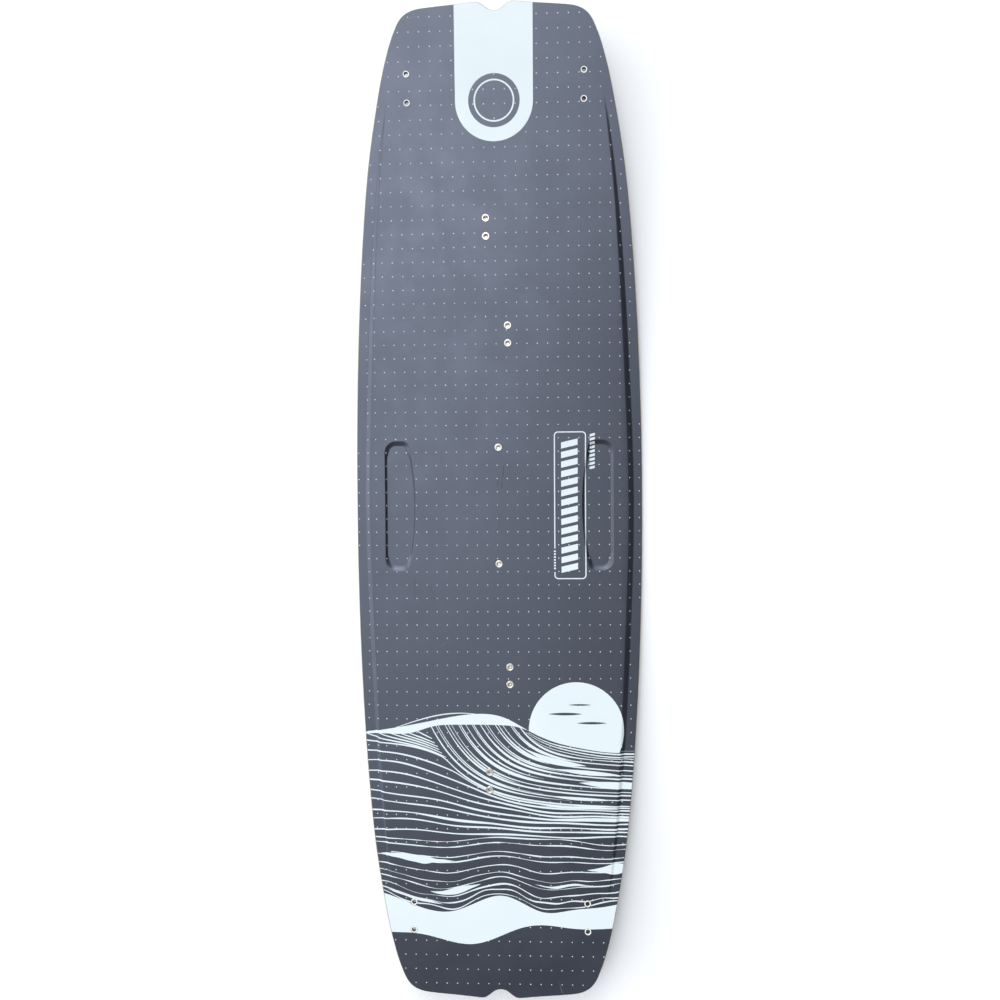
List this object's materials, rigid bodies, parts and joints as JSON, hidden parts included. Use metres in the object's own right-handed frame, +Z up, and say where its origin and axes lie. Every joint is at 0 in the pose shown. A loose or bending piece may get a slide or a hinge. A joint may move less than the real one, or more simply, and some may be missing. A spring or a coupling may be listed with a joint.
{
  "type": "kiteboard",
  "caption": "Twin-tip kiteboard with a rockered wood core, printed deck, raised centre, grab recesses, notched tips, threaded pad and handle inserts and fin holes.",
  "frame": {"origin": "centre of the board in plan, on the level the rails touch when it stands on a flat floor", "axes": "+X across the board, +Y along it, +Z up from the deck"},
  "size_m": [0.4196, 1.3962, 0.0569],
  "materials": {
    "printed_topsheet": "satin printed sheet",
    "base_sheet": "smooth running surface",
    "glass_laminate": "cured glass and resin",
    "rail_plastic": "sanded plastic",
    "core_wood": "planed",
    "dense_block": "milled",
    "white_bush": "moulded",
    "steel_insert": "turned"
  },
  "bodies": {
    "root": {"base_laminate_inner": "glass_laminate", "base_laminate_outer": "glass_laminate", "base_sheet": "base_sheet", "core_stave_01": "core_wood", "core_stave_02": "core_wood", "core_stave_03": "core_wood", "core_stave_04": "core_wood", "core_stave_05": "core_wood", "core_stave_06": "core_wood", "core_stave_07": "core_wood", "core_stave_08": "core_wood", "core_stave_09": "core_wood", "core_stave_10": "core_wood", "core_stave_11": "core_wood", "deck_laminate_inner": "glass_laminate", "deck_laminate_outer": "glass_laminate", "fin_block_front_left": "dense_block", "fin_block_front_right": "dense_block", "fin_block_rear_left": "dense_block", "fin_block_rear_right": "dense_block", "fin_bush_front_left": "white_bush", "fin_bush_front_right": "white_bush", "fin_bush_rear_left": "white_bush", "fin_bush_rear_right": "white_bush", "foot_insert_front_inner": "steel_insert", "foot_insert_front_outer": "steel_insert", "foot_insert_rear_inner": "steel_insert", "foot_insert_rear_outer": "steel_insert", "handle_block_front": "dense_block", "handle_block_rear": "dense_block", "handle_insert": "steel_insert", "insert_block_front_inner": "dense_block", "insert_block_front_outer": "dense_block", "insert_block_rear_inner": "dense_block", "insert_block_rear_outer": "dense_block", "rail_left": "rail_plastic", "rail_right": "rail_plastic", "tip_spacer_front": "rail_plastic", "tip_spacer_rear": "rail_plastic", "topsheet": "printed_topsheet"}
  },
  "joints": []
}
